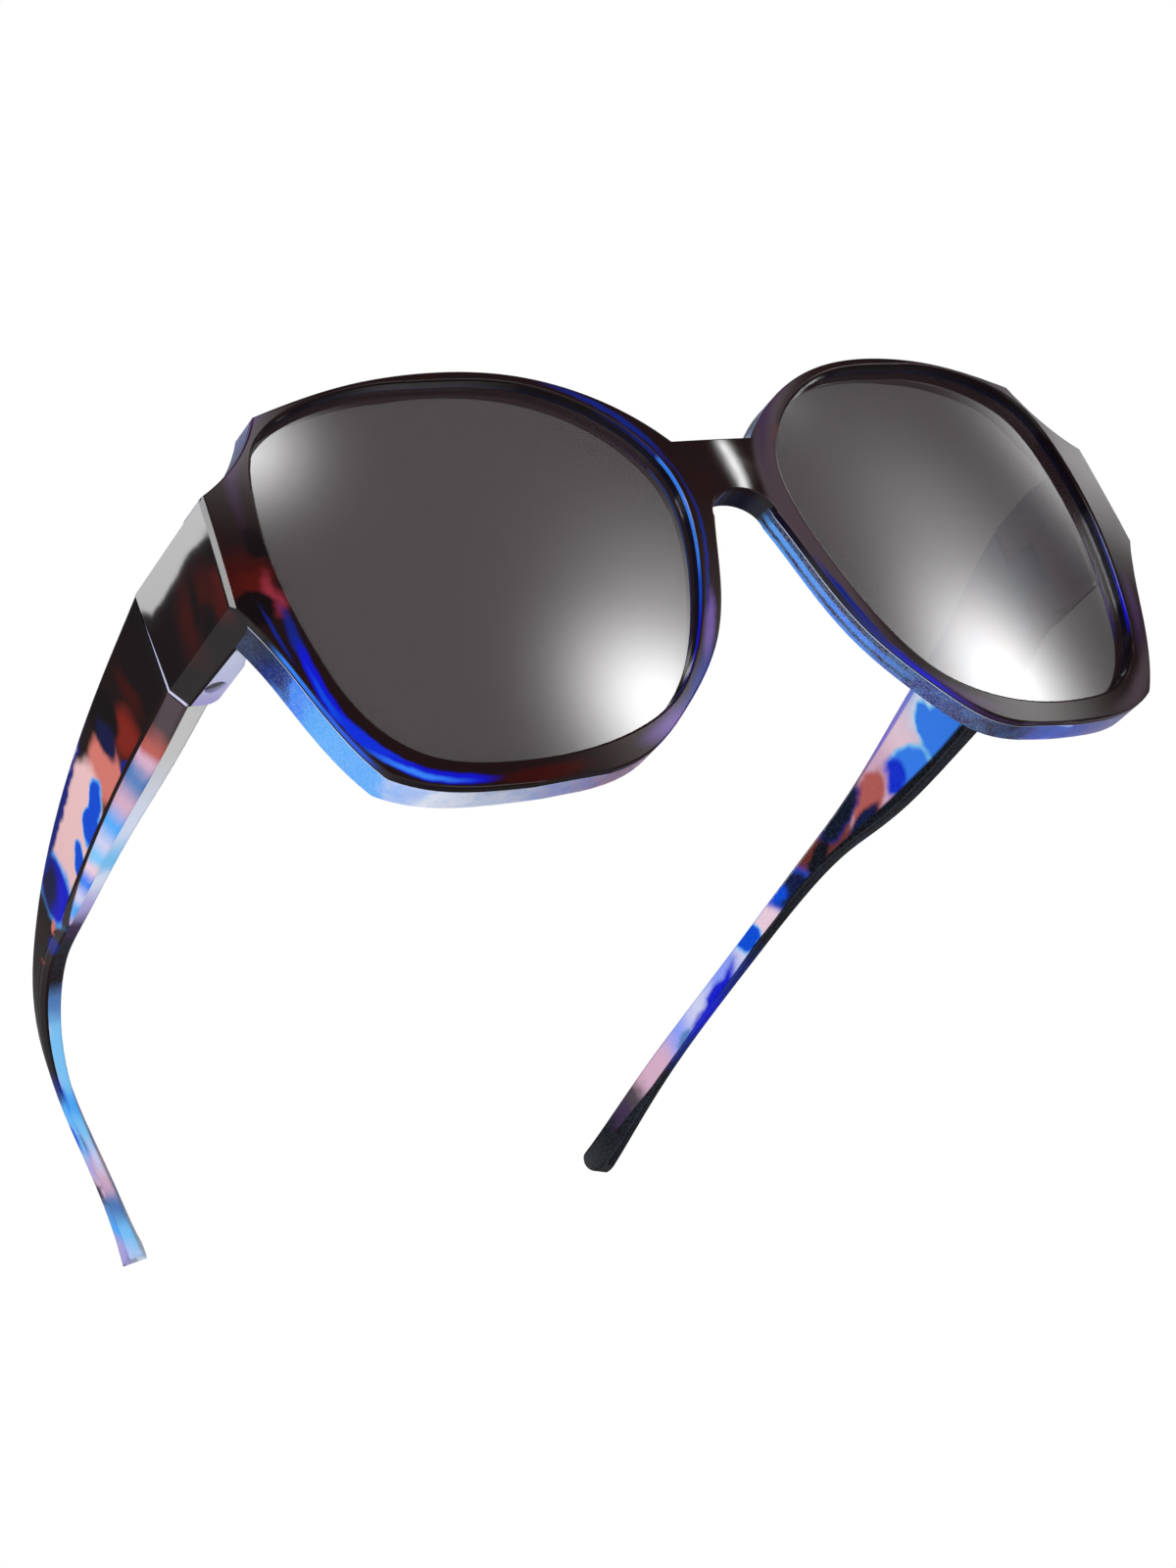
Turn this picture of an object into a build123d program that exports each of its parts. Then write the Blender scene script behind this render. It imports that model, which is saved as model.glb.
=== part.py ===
from build123d import *
from math import asin, atan2, cos, degrees, hypot, radians, sin
import os

# Fitover sunglasses, open as they stand on a table. Sizes are in millimetres.
# X runs across the face to the wearer's left, Y runs back along the temples and Z is up.
# Places called out, back and up are in the fitting frame, whose up lies along the lens plane
# and whose origin is on the bridge's front face. It leans, as the standing glasses do.

# Lenses
lens_width = 59.8
lens_height = 56.2
lenses_apart = 17.8
lens_centre_up = 6.4
lens_thickness = 1.6
lens_recess = 1.8
groove_reach = 0.6
lens_clearance = 0.05

# Front, seen square on
bridge_top_up = 21.0
bridge_half_width = 6.8
bridge_arch_up = 12.8
bridge_arch_half_width = 5.3
bridge_arch_rise = 4.0
chin_radius = 2.0

# Front, from its face to its back edge
face_radius = 320.0
rear_radius = 270.0
middle_depth = 4.2
outer_layer_depth = 1.2
ledge_depth = 0.7
opening_edge_radius = 0.35
outline_edge_radius = 0.25

# End pieces, which turn back from the front to the hinges: how far outside the lenses' outer
# edges their corners lie, how far above or below the hinge's middle, and how far back
end_front_top_beyond = 5.0
end_front_ridge_beyond = 6.3
end_front_under_beyond = 4.5
end_rear_beyond = 6.9
end_rear_under_beyond = 5.1
end_inner_beyond = 1.0
end_throat_beyond = 4.0
end_front_top_rise = 11.1
end_rear_top_rise = 8.9
end_front_ridge_drop = 4.4
end_rear_ridge_drop = 5.4
end_under_drop = 7.7
end_front_back = 6.0
end_throat_back = 10.0
end_full_back = 19.5
end_rear_back = 29.1
end_skin = 1.3
end_bevel_skin = 0.6
end_relief_radius = 1.6
end_chamfer = 0.55

# Hinges
hinge_up = 10.4
hinge_inset = 4.0
hinge_back = 24.5
hinge_gap = 0.3
tongue_radius = 1.8
tongue_height = 6.4
tongue_root = 1.5
tongue_clearance = 0.15
screw_shank_radius = 0.8
screw_head_radius = 1.35
screw_head_height = 1.0
screw_recess = 0.3
screw_slot_width = 0.5
screw_slot_depth = 0.45
screw_slot_angle = 35.0
screw_top_rise = 7.1
screw_end_clearance = 0.3
bore_clearance = 0.06
thread_clearance = 0.02
head_clearance = 0.1

# Temples
temple_length = 119.5
temple_drop = 41.4
temple_bow = 30.7
temple_root_thickness = 5.5
temple_thickness = 2.25
temple_root_height = 16.7
temple_root_rise = 0.85
temple_corner_share = 0.14
temple_bevel_in_share = 0.28
temple_bevel_up_share = 0.13
temple_skin_share = 0.38

# How deep the rims and the temple tips are trimmed flat where they stand
foot_trim = 0.25

# Length that a cut runs past what it cuts
overrun = 5.0

# Outlines, as shares of half the lens width and half the lens height from the lens's centre
opening_shares = [
    (0.116, 0.99),
    (0.607, 0.93),
    (0.858, 0.765),
    (0.955, 0.47),
    (0.98, 0.08),
    (0.934, -0.32),
    (0.832, -0.66),
    (0.638, -0.885),
    (0.32, -0.985),
    (-0.007, -0.998),
    (-0.304, -0.945),
    (-0.57, -0.81),
    (-0.764, -0.57),
    (-0.918, -0.22),
    (-1.00, 0.12),
    (-0.995, 0.34),
    (-0.897, 0.56),
    (-0.703, 0.765),
    (-0.355, 0.935),
]
hollow_shares = [
    (0.117, 0.993),
    (0.605, 0.935),
    (0.79, 0.845),
    (0.94, 0.63),
    (1.06, 0.43),
    (1.10, 0.06),
    (1.06, -0.17),
    (0.99, -0.42),
    (0.88, -0.70),
    (0.76, -0.89),
    (0.62, -0.985),
    (0.32, -1.05),
    (-0.03, -1.065),
    (-0.31, -1.015),
    (-0.565, -0.835),
    (-0.83, -0.52),
    (-0.95, -0.27),
    (-1.01, -0.07),
    (-1.015, 0.13),
    (-0.99, 0.34),
    (-0.90, 0.56),
    (-0.705, 0.77),
    (-0.355, 0.94),
]
rim_top_shares = [(-0.76, 0.81), (-0.427, 0.965), (0.034, 1.03), (0.341, 1.015), (0.607, 0.965)]
brow_share = (0.823, 0.907)
shoulder_share = (1.01, 0.648)
chin_share = (0.813, -0.95)
rim_side_shares = [(1.15, -0.142), (1.085, -0.30), (1.005, -0.54), (0.915, -0.77)]
rim_bottom_shares = [(0.648, -1.04), (0.32, -1.105), (-0.028, -1.12), (-0.324, -1.07), (-0.59, -0.88)]
rim_nose_shares = [(-0.877, -0.55), (-0.995, -0.30), (-1.063, -0.09)]

# Temple stations: shares of the length, the drop, the bow and the root height, and how far the
# thickness has come from the root's to that of the blade's thinnest place
temple_station_shares = [
    (0.0, 0.000, 0.000, 1.00, 0.00),
    (0.1, 0.072, -0.006, 0.949, 0.28),
    (0.2, 0.134, -0.007, 0.856, 0.47),
    (0.3, 0.191, 0.011, 0.728, 0.59),
    (0.4, 0.251, 0.042, 0.554, 0.64),
    (0.5, 0.299, 0.102, 0.325, 0.65),
    (0.6, 0.370, 0.195, 0.222, 0.68),
    (0.7, 0.480, 0.340, 0.208, 0.86),
    (0.8, 0.626, 0.549, 0.213, 1.00),
    (0.9, 0.808, 0.788, 0.243, 0.95),
    (1.0, 1.000, 0.990, 0.290, 0.50),
]

lens_centre_out = lenses_apart / 2 + lens_width / 2
lens_outer_edge = lens_centre_out + lens_width / 2
end_front_top_out = lens_outer_edge + end_front_top_beyond
end_front_ridge_out = lens_outer_edge + end_front_ridge_beyond
end_front_under_out = lens_outer_edge + end_front_under_beyond
end_rear_out = lens_outer_edge + end_rear_beyond
end_rear_under_out = lens_outer_edge + end_rear_under_beyond
end_inner_out = lens_outer_edge + end_inner_beyond
end_throat_out = lens_outer_edge + end_throat_beyond
end_front_top_up = hinge_up + end_front_top_rise
end_rear_top_up = hinge_up + end_rear_top_rise
end_front_ridge_up = hinge_up - end_front_ridge_drop
end_rear_ridge_up = hinge_up - end_rear_ridge_drop
end_under_up = hinge_up - end_under_drop
hinge_out = end_rear_out - hinge_inset
tongue_bottom_up = hinge_up - tongue_height / 2
tongue_top_up = hinge_up + tongue_height / 2
screw_top_up = hinge_up + screw_top_rise
temple_root_up = hinge_up + temple_root_rise
front_depth = end_rear_back + 2 * overrun
temple_back = end_rear_back + hinge_gap


def temple_stations():
    """Centre, height and thickness of a temple at each station, in the fitting frame."""
    stations = []
    for along, drop, bow, height, thinning in temple_station_shares:
        thickness = temple_root_thickness + thinning * (temple_thickness - temple_root_thickness)
        centre = Vector(
            end_rear_out - thickness / 2 - bow * temple_bow,
            temple_back + along * temple_length,
            temple_root_up - drop * temple_drop,
        )
        stations.append((centre, height * temple_root_height, thickness))
    return stations


def temple_headings(centres):
    """Direction of a temple at each station, straight back at the hinge."""
    headings = [Vector(0, 1, 0)]
    for before, after in zip(centres, centres[2:]):
        headings.append((after - before).normalized())
    headings.append((centres[-1] - centres[-2]).normalized())
    return headings


stations = temple_stations()
headings = temple_headings([centre for centre, _, _ in stations])

# The glasses stand on the rims' lowest places and on the rounded tips, so these two set the lean
tip_centre, tip_height, tip_thickness = stations[-1]
tip_radius = tip_height / 2
tip_half_flat = (1 / 2 - temple_corner_share) * tip_thickness
tip_corner_back = -headings[-1].X / hypot(headings[-1].X, headings[-1].Y) * tip_half_flat
tip_ball = tip_centre - headings[-1] * tip_radius
rim_foot_share, rim_foot_up_share = min(rim_bottom_shares, key=lambda share: share[1])
rim_foot_out = lens_centre_out + rim_foot_share * lens_width / 2
rim_foot_up = lens_centre_up + rim_foot_up_share * lens_height / 2
rim_foot_back = (rim_foot_out**2 + rim_foot_up**2) / (2 * face_radius)
feet_apart = hypot(tip_ball.Y - rim_foot_back, tip_ball.Z - rim_foot_up)
feet_slope = atan2(tip_ball.Z - rim_foot_up, tip_ball.Y - rim_foot_back)
lean = asin(tip_radius / feet_apart) - feet_slope
stand_up = -foot_trim - rim_foot_back * sin(lean) - rim_foot_up * cos(lean)
foremost = face_radius * (cos(lean) - 1)
rearmost = (tip_ball.Y + tip_corner_back) * cos(lean) - tip_ball.Z * sin(lean) + tip_radius
stand_back = -(foremost + rearmost) / 2

fitting = Plane(origin=(0, stand_back, stand_up), x_dir=(1, 0, 0), z_dir=(0, -sin(lean), cos(lean)))
face_plane = Plane(origin=fitting.origin, x_dir=fitting.x_dir, z_dir=-fitting.y_dir)
cutting_plane = face_plane.offset(overrun)
print("lean", degrees(lean), "fitting origin", stand_back, stand_up)


def on_lens(shares):
    """Places on the lens plane for shares of the half lens width and height."""
    half_width = lens_width / 2
    half_height = lens_height / 2
    return [(lens_centre_out + a * half_width, lens_centre_up + b * half_height) for a, b in shares]


def front_outline():
    """The front's outline, drawn from the bridge over one lens and back under it."""
    arch_foot = (bridge_arch_half_width, bridge_arch_up - bridge_arch_rise)
    arch_size = (bridge_arch_half_width, bridge_arch_rise)
    chin = on_lens([chin_share])[0]
    end_top = (end_front_top_out, end_front_top_up)
    with BuildSketch(cutting_plane) as outline:
        with BuildLine():
            bridge = Line((0, bridge_top_up), (bridge_half_width, bridge_top_up))
            over = Spline(bridge @ 1, *on_lens(rim_top_shares + [brow_share]))
            shoulder = Spline(over @ 1, *on_lens([shoulder_share]), end_top)
            edge = Line(shoulder @ 1, (end_front_ridge_out, end_front_ridge_up))
            side = Spline(edge @ 1, *on_lens(rim_side_shares), chin)
            under = Spline(side @ 1, *on_lens(rim_bottom_shares + rim_nose_shares), arch_foot)
            arch = EllipticalCenterArc((0, arch_foot[1]), *arch_size, start_angle=0, arc_size=90)
            Line(arch @ 1, bridge @ 0)
        make_face()
        chin_corner = cutting_plane.from_local_coords(Vector(*chin, 0))
        fillet(outline.vertices().sort_by_distance(chin_corner)[0], chin_radius)
        mirror(about=Plane.YZ)
    return outline.sketch


def ring(shares, growth):
    """A closed curve round a lens, drawn clockwise, with its places moved out by a distance."""
    places = on_lens(shares)
    grown = []
    for before, place, after in zip(places[-1:] + places[:-1], places, places[1:] + places[:1]):
        along = (Vector(*after) - Vector(*before)).normalized()
        grown.append((place[0] - growth * along.Y, place[1] + growth * along.X))
    with BuildSketch(cutting_plane) as inside:
        with BuildLine():
            Spline(*grown, periodic=True)
        make_face()
    return inside.sketch


def end_section(plane, top, ridge, under):
    """Section of an end piece, from its top down over the ridge and the bevel to its underside."""
    with BuildSketch(plane) as section:
        with BuildLine():
            Polyline(top, ridge, under, (end_inner_out, end_under_up), (end_inner_out, top[1]), close=True)
        make_face()
    return section.sketch


def end_block(skin, bevel_skin):
    """A solid end piece, taken in by a skin outside and by another under its bevel."""
    with BuildPart() as block:
        front = end_section(
            face_plane.offset(-end_front_back),
            (end_front_top_out - skin, end_front_top_up),
            (end_front_ridge_out - skin, end_front_ridge_up),
            (end_front_under_out - bevel_skin, end_under_up),
        )
        rear = end_section(
            face_plane.offset(-end_rear_back),
            (end_rear_out - skin, end_rear_top_up),
            (end_rear_out - skin, end_rear_ridge_up),
            (end_rear_under_out - bevel_skin, end_under_up),
        )
        loft([front, rear], ruled=True)
        middle_up = (end_under_up + end_rear_top_up) / 2
        inner_rear = fitting.from_local_coords(Vector(end_inner_out, end_rear_back, middle_up))
        fillet(block.edges().sort_by_distance(inner_rear)[0], end_relief_radius)
        with BuildSketch(fitting.offset(end_under_up - overrun)):
            with BuildLine():
                Polyline(
                    (end_inner_out - overrun, end_full_back),
                    (end_inner_out, end_full_back),
                    (end_throat_out, end_throat_back),
                    (end_throat_out, end_front_back - overrun),
                    (end_inner_out - overrun, end_front_back - overrun),
                    close=True,
                )
            make_face()
        extrude(amount=end_front_top_up - end_under_up + 2 * overrun, mode=Mode.SUBTRACT)
    return block.part


def behind_face(depth):
    """Centre of the ball whose surface lies a given depth behind the front face."""
    return fitting.from_local_coords(Vector(0, face_radius + depth, 0))


def on_face(out, up):
    """The place on the front face that lies a given distance out and up."""
    return fitting.from_local_coords(Vector(out, (out**2 + up**2) / (2 * face_radius), up))


def pin_bore(clearance, bottom_up, top_up):
    """A bore for the hinge screw's shank, between two heights."""
    with BuildPart() as bore:
        with BuildSketch(fitting.offset(bottom_up)):
            with Locations((hinge_out, hinge_back)):
                Circle(screw_shank_radius + clearance)
        extrude(amount=top_up - bottom_up)
    return bore.part


outline = front_outline()
opening = ring(opening_shares, 0)
groove = ring(opening_shares, groove_reach)
lens_edge = ring(opening_shares, groove_reach - lens_clearance)
hollow = ring(hollow_shares, 0)
end_core = end_block(end_skin, end_bevel_skin)
end_cover = end_block(0, 0) - end_core
lower_bore = pin_bore(bore_clearance, end_under_up, tongue_bottom_up)
upper_bore = pin_bore(thread_clearance, tongue_top_up, screw_top_up + screw_end_clearance)
tongue_bore = pin_bore(bore_clearance, tongue_bottom_up, tongue_top_up)

# Room for a lens: the opening in front of it, its groove and the hollow behind it
with BuildPart() as lens_room:
    extrude(groove, amount=-front_depth)
    with Locations(behind_face(lens_recess)):
        Sphere(face_radius, mode=Mode.INTERSECT)
    with Locations(behind_face(lens_recess + lens_thickness + 2 * lens_clearance)):
        Sphere(face_radius, mode=Mode.SUBTRACT)
    extrude(opening, amount=-front_depth)

with BuildPart() as pocket:
    extrude(hollow, amount=-front_depth)
    with Locations(behind_face(lens_recess + lens_thickness + ledge_depth)):
        Sphere(face_radius, mode=Mode.INTERSECT)

# Slot in an end piece for the temple's tongue, with the recess for the screw's head
with BuildPart() as fork_cut:
    with BuildSketch(fitting.offset(tongue_bottom_up - tongue_clearance)):
        with BuildLine():
            slot_front = hinge_back - tongue_radius - 2 * tongue_clearance
            slot_out = hinge_out + tongue_radius + tongue_clearance
            Polyline(
                (end_inner_out - overrun, slot_front),
                (slot_out, slot_front),
                (slot_out, end_rear_back + overrun),
                (end_inner_out - overrun, end_rear_back + overrun),
                close=True,
            )
        make_face()
    extrude(amount=tongue_top_up - tongue_bottom_up + 2 * tongue_clearance)
    with BuildSketch(fitting.offset(end_under_up - overrun)):
        with Locations((hinge_out, hinge_back)):
            Circle(screw_head_radius + head_clearance)
    extrude(amount=overrun + screw_recess + screw_head_height)
    add(lower_bore)
    add(upper_bore)

with BuildPart() as front_outer_frame:
    extrude(outline, amount=-front_depth)
    with Locations(behind_face(outer_layer_depth)):
        Sphere(face_radius, mode=Mode.SUBTRACT)
    add(end_cover)
    add(end_cover.mirror(Plane.YZ))
    with Locations(behind_face(0)):
        Sphere(face_radius, mode=Mode.INTERSECT)
    extrude(opening, amount=-front_depth, mode=Mode.SUBTRACT)
    extrude(opening.mirror(Plane.YZ), amount=-front_depth, mode=Mode.SUBTRACT)
    corner_out = (end_front_top_out + end_front_ridge_out) / 2
    corner_up = (end_front_top_up + end_front_ridge_up) / 2
    for out in (corner_out, -corner_out):
        corner = front_outer_frame.edges().sort_by_distance(on_face(out, corner_up))[0]
        chamfer(corner, end_chamfer)
    face = front_outer_frame.faces().sort_by_distance(on_face(0, bridge_arch_up))[0]
    fillet([edge for wire in face.inner_wires() for edge in wire.edges()], opening_edge_radius)
    face = front_outer_frame.faces().sort_by_distance(on_face(0, bridge_top_up))[0]
    fillet(face.outer_wire().edges(), outline_edge_radius)
    split(bisect_by=Plane.XY, keep=Keep.TOP)

with BuildPart() as front_inner_frame:
    extrude(outline, amount=-front_depth)
    with Locations(fitting.from_local_coords(Vector(0, middle_depth + rear_radius, 0))):
        Sphere(rear_radius, mode=Mode.SUBTRACT)
    for cut in (lens_room.part, pocket.part):
        add(cut, mode=Mode.SUBTRACT)
        add(cut.mirror(Plane.YZ), mode=Mode.SUBTRACT)
    add(end_core)
    add(end_core.mirror(Plane.YZ))
    with Locations(behind_face(outer_layer_depth)):
        Sphere(face_radius, mode=Mode.INTERSECT)
    for cut in (end_cover, fork_cut.part):
        add(cut, mode=Mode.SUBTRACT)
        add(cut.mirror(Plane.YZ), mode=Mode.SUBTRACT)
    split(bisect_by=Plane.XY, keep=Keep.TOP)

with BuildPart() as lens:
    extrude(lens_edge, amount=-front_depth)
    with Locations(behind_face(lens_recess + lens_clearance)):
        Sphere(face_radius, mode=Mode.INTERSECT)
    with Locations(behind_face(lens_recess + lens_clearance + lens_thickness)):
        Sphere(face_radius, mode=Mode.SUBTRACT)

with BuildPart() as hinge_screw:
    head_under_up = end_under_up + screw_recess
    with BuildSketch(fitting.offset(head_under_up)):
        with Locations((hinge_out, hinge_back)):
            Circle(screw_head_radius)
    extrude(amount=screw_head_height)
    with BuildSketch(fitting.offset(head_under_up + screw_head_height)):
        with Locations((hinge_out, hinge_back)):
            Circle(screw_shank_radius)
    extrude(amount=screw_top_up - head_under_up - screw_head_height)
    with BuildSketch(fitting.offset(head_under_up)):
        with Locations(Location((hinge_out, hinge_back), screw_slot_angle)):
            Rectangle(2 * screw_head_radius + overrun, screw_slot_width)
    extrude(amount=screw_slot_depth, mode=Mode.SUBTRACT)


def temple_plane(centre, heading):
    """A plane square to the temple, with its own X outward and its own Y upward."""
    out = Vector(heading.Y, -heading.X, 0)
    local = Plane(origin=centre, x_dir=out, z_dir=-heading)
    return Plane(fitting.location * local.location)


def temple_section(plane, height, thickness):
    """A temple's section, with its outward side at +X and a bevel under that side."""
    with BuildSketch(plane) as section:
        with BuildLine():
            Polyline(
                (thickness / 2, height / 2),
                (thickness / 2, -height / 2 + temple_bevel_up_share * height),
                (thickness / 2 - temple_bevel_in_share * thickness, -height / 2),
                (-thickness / 2, -height / 2),
                (-thickness / 2, height / 2),
                close=True,
            )
        make_face()
        fillet(section.vertices(), temple_corner_share * thickness)
    return section.sketch


def parting_section(plane, height, thickness):
    """Everything inward of the temple's outer skin at one station."""
    skin_inside = thickness / 2 - temple_skin_share * thickness
    with BuildSketch(plane) as section:
        with BuildLine():
            Polyline(
                (skin_inside, height),
                (skin_inside, -height),
                (-thickness, -height),
                (-thickness, height),
                close=True,
            )
        make_face()
    return section.sketch


def temple_loft(section, past_ends):
    """A solid through the same section, placed and sized at every station."""
    shifts = [past_ends] + [0] * (len(stations) - 2) + [-past_ends]
    with BuildPart() as body:
        outlines = [
            section(temple_plane(centre, heading).offset(shift), height, thickness)
            for (centre, height, thickness), heading, shift in zip(stations, headings, shifts)
        ]
        loft(outlines)
    return body.part


tip_plane = temple_plane(tip_centre, headings[-1])
tip_side = Plane(origin=tip_plane.origin, x_dir=-tip_plane.z_dir, z_dir=tip_plane.x_dir)
temple_whole = temple_loft(temple_section, 0)
temple_skin = temple_whole - temple_loft(parting_section, tip_radius)

# What rounds a temple's tip
with BuildPart() as tip_cut:
    with BuildSketch(tip_side.offset(-overrun)):
        with Locations((overrun / 2 - tip_radius / 2, 0)):
            Rectangle(tip_radius + overrun, tip_height + overrun)
        with Locations((-tip_radius, 0)):
            Circle(tip_radius, mode=Mode.SUBTRACT)
    extrude(amount=2 * overrun)

with BuildPart() as temple_outer:
    add(temple_skin)
    add(tip_cut.part, mode=Mode.SUBTRACT)
    split(bisect_by=Plane.XY, keep=Keep.TOP)

with BuildPart() as temple_inner:
    add(temple_whole)
    add(temple_skin, mode=Mode.SUBTRACT)
    add(tip_cut.part, mode=Mode.SUBTRACT)
    split(bisect_by=Plane.XY, keep=Keep.TOP)
    with BuildSketch(fitting.offset(tongue_bottom_up)):
        with Locations((hinge_out, hinge_back)):
            Circle(tongue_radius)
        tongue_reach = temple_back + tongue_root - hinge_back
        with Locations((hinge_out, hinge_back + tongue_reach / 2)):
            Rectangle(2 * tongue_radius, tongue_reach)
    extrude(amount=tongue_top_up - tongue_bottom_up)
    add(tongue_bore, mode=Mode.SUBTRACT)

pieces = {
    "front_outer_frame": front_outer_frame.part,
    "front_inner_frame": front_inner_frame.part,
}
for name, piece in {
    "lens": lens.part,
    "hinge_screw": hinge_screw.part,
    "temple_outer": temple_outer.part,
    "temple_inner": temple_inner.part,
}.items():
    pieces[f"{name}_left"] = piece
    pieces[f"{name}_right"] = piece.mirror(Plane.YZ)

os.makedirs("parts", exist_ok=True)
for name, piece in pieces.items():
    piece.label = name
    export_step(piece, f"parts/{name}.step")
    print(name, piece.volume, piece.is_valid, len(piece.solids()), piece.bounding_box())
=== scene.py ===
"""Fitover sunglasses: the finish of every piece, the camera, the light and the floor."""

import math
from itertools import groupby

import bpy
from bpy.props import FloatProperty, FloatVectorProperty, PointerProperty
from mathutils import Matrix, Vector


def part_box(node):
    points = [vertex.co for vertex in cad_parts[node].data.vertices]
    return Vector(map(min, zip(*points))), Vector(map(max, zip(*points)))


bl_info = {
    "name": "Fitover Sunglasses",
    "version": (1, 0, 0),
    "blender": (4, 5, 0),
    "location": "3D View > Sidebar > Glasses",
    "description": "Finishes fitover sunglasses in mottled plastic and sets a studio round them",
    "category": "Object",
}

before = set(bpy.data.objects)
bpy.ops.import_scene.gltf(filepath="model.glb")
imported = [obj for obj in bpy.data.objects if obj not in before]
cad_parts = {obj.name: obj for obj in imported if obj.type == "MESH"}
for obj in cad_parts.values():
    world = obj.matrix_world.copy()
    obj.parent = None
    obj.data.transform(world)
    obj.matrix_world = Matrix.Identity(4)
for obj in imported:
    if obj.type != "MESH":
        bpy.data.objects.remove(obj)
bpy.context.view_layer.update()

MILLIMETRE = 0.001
LEFT_AND_RIGHT = ("left", "right")


def colour_property(name, description, default):
    """A colour that the user may change."""
    return FloatVectorProperty(
        name=name, description=description, default=default, size=3, min=0.0, max=1.0, subtype="COLOR"
    )


def shade(red, green, blue):
    """A colour from its display values, which run to 255."""
    parts = [part / 255 for part in (red, green, blue)]
    return tuple(part / 12.92 if part <= 0.04045 else ((part + 0.055) / 1.055) ** 2.4 for part in parts)


class Field:
    """An output of a node tree that Python sums can use."""

    def __init__(self, tree, socket):
        self.tree = tree
        self.socket = socket

    def maths(self, operation, *values):
        return self.tree.add("ShaderNodeMath", {"operation": operation}, dict(enumerate(values)))

    def __add__(self, other):
        return self.maths("ADD", self, other)

    def __radd__(self, other):
        return self.maths("ADD", other, self)

    def __sub__(self, other):
        return self.maths("SUBTRACT", self, other)

    def __rsub__(self, other):
        return self.maths("SUBTRACT", other, self)

    def __mul__(self, other):
        return self.maths("MULTIPLY", self, other)

    def __rmul__(self, other):
        return self.maths("MULTIPLY", other, self)

    def __truediv__(self, other):
        return self.maths("DIVIDE", self, other)

    def __pow__(self, other):
        return self.maths("POWER", self, other)

    def __abs__(self):
        return self.maths("ABSOLUTE", self)

    def or_more(self, other):
        """The larger of two values."""
        return self.maths("MAXIMUM", self, other)


HALO_GROWTH = 1.16
CURVE_REACH = 50.0
GRAIN_RANGE = (0.35, 0.65)
MIDDLE_GREY = (0.5, 0.5, 0.5)
FINE_DETAIL = 3.0


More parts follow.
